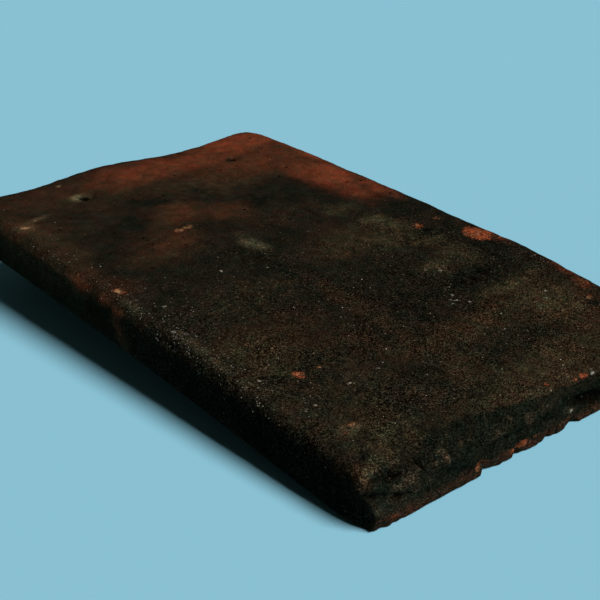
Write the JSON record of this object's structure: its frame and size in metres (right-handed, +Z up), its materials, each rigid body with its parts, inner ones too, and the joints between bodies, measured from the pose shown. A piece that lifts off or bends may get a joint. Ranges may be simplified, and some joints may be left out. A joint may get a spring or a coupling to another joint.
{
  "type": "plain roof tile",
  "caption": "Handmade clay plain roof tile: a thick, gently cambered slab with worn arrises, nail holes near its head and nibs below that hook over a batten.",
  "frame": {"origin": "on the floor, below the middle of the tile's bounding box", "axes": "+X across the tile, +Y from tail to head, +Z up out of the face; the tile lies as it rests on its tail and nib tips"},
  "size_m": [0.165, 0.2653, 0.0432],
  "materials": {
    "fired_clay": "matt, weathered: dark soot and algae over sanded red clay"
  },
  "bodies": {
    "root": {"roof_tile": "fired_clay"}
  },
  "joints": []
}
